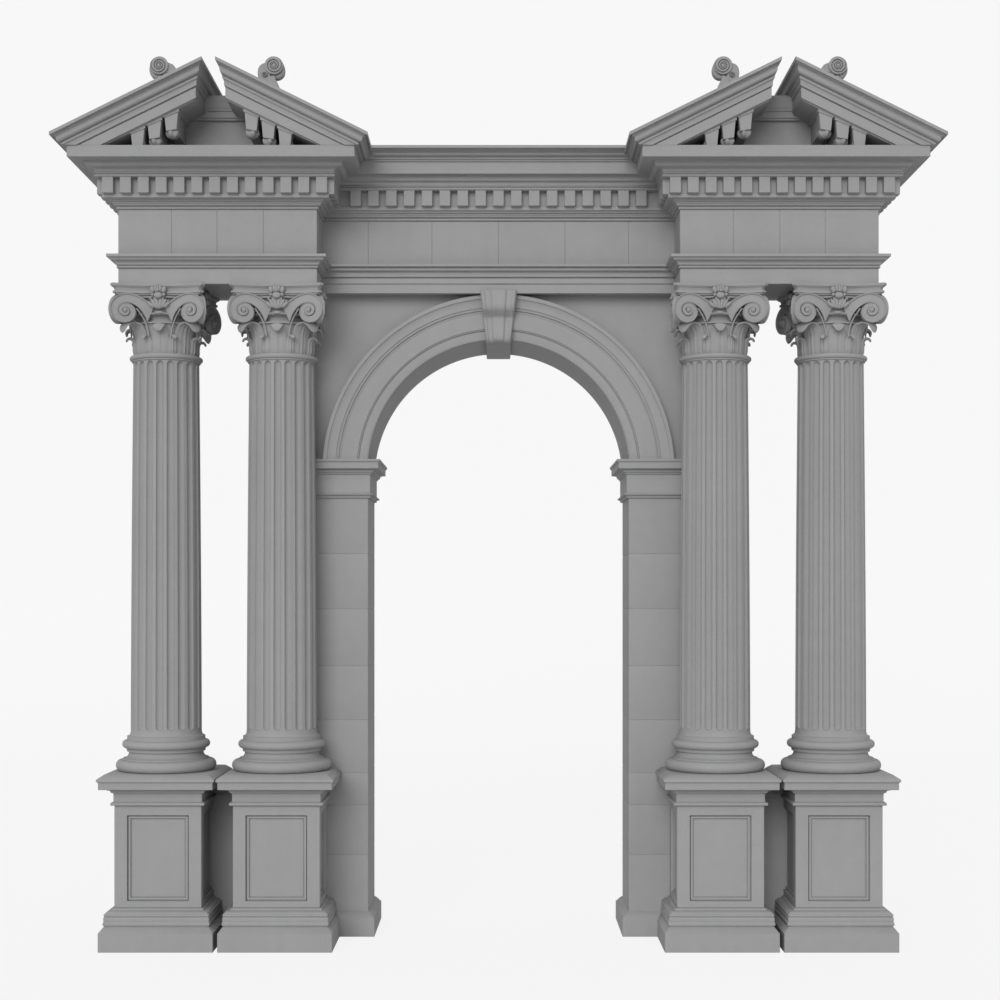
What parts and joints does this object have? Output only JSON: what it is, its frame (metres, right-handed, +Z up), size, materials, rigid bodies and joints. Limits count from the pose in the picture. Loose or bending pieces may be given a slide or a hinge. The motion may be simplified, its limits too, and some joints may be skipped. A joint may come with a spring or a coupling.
{
  "type": "arched screen with coupled columns and broken pediments",
  "caption": "Round archway flanked by coupled fluted Composite columns on panelled pedestals, under a dentilled entablature with broken pediments and scroll finials.",
  "frame": {"origin": "middle of the object's footprint box, at ground level", "axes": "+X to the right seen from the front, +Y from the front to the back, +Z up"},
  "size_m": [8.716, 2.743, 8.9565],
  "materials": {
    "stone": "matte dressed limestone, mid grey"
  },
  "bodies": {
    "root": {"left_outer_pedestal": "stone", "left_outer_column_base": "stone", "left_outer_shaft": "stone", "left_outer_capital": "stone", "left_inner_pedestal": "stone", "left_inner_column_base": "stone", "left_inner_shaft": "stone", "left_inner_capital": "stone", "right_outer_pedestal": "stone", "right_outer_column_base": "stone", "right_outer_shaft": "stone", "right_outer_capital": "stone", "right_inner_pedestal": "stone", "right_inner_column_base": "stone", "right_inner_shaft": "stone", "right_inner_capital": "stone", "left_dado_wall": "stone", "left_pier": "stone", "left_impost": "stone", "left_block_architrave": "stone", "left_block_frieze": "stone", "left_block_cornice": "stone", "left_tympanum": "stone", "right_dado_wall": "stone", "right_pier": "stone", "right_impost": "stone", "right_block_architrave": "stone", "right_block_frieze": "stone", "right_block_cornice": "stone", "right_tympanum": "stone", "left_outer_raking_cornice": "stone", "left_outer_finial": "stone", "left_inner_raking_cornice": "stone", "left_inner_finial": "stone", "right_outer_raking_cornice": "stone", "right_outer_finial": "stone", "right_inner_raking_cornice": "stone", "right_inner_finial": "stone", "arch_wall": "stone", "front_archivolt": "stone", "back_archivolt": "stone", "keystone": "stone", "wall_architrave": "stone", "wall_frieze": "stone", "wall_cornice": "stone"}
  },
  "joints": []
}
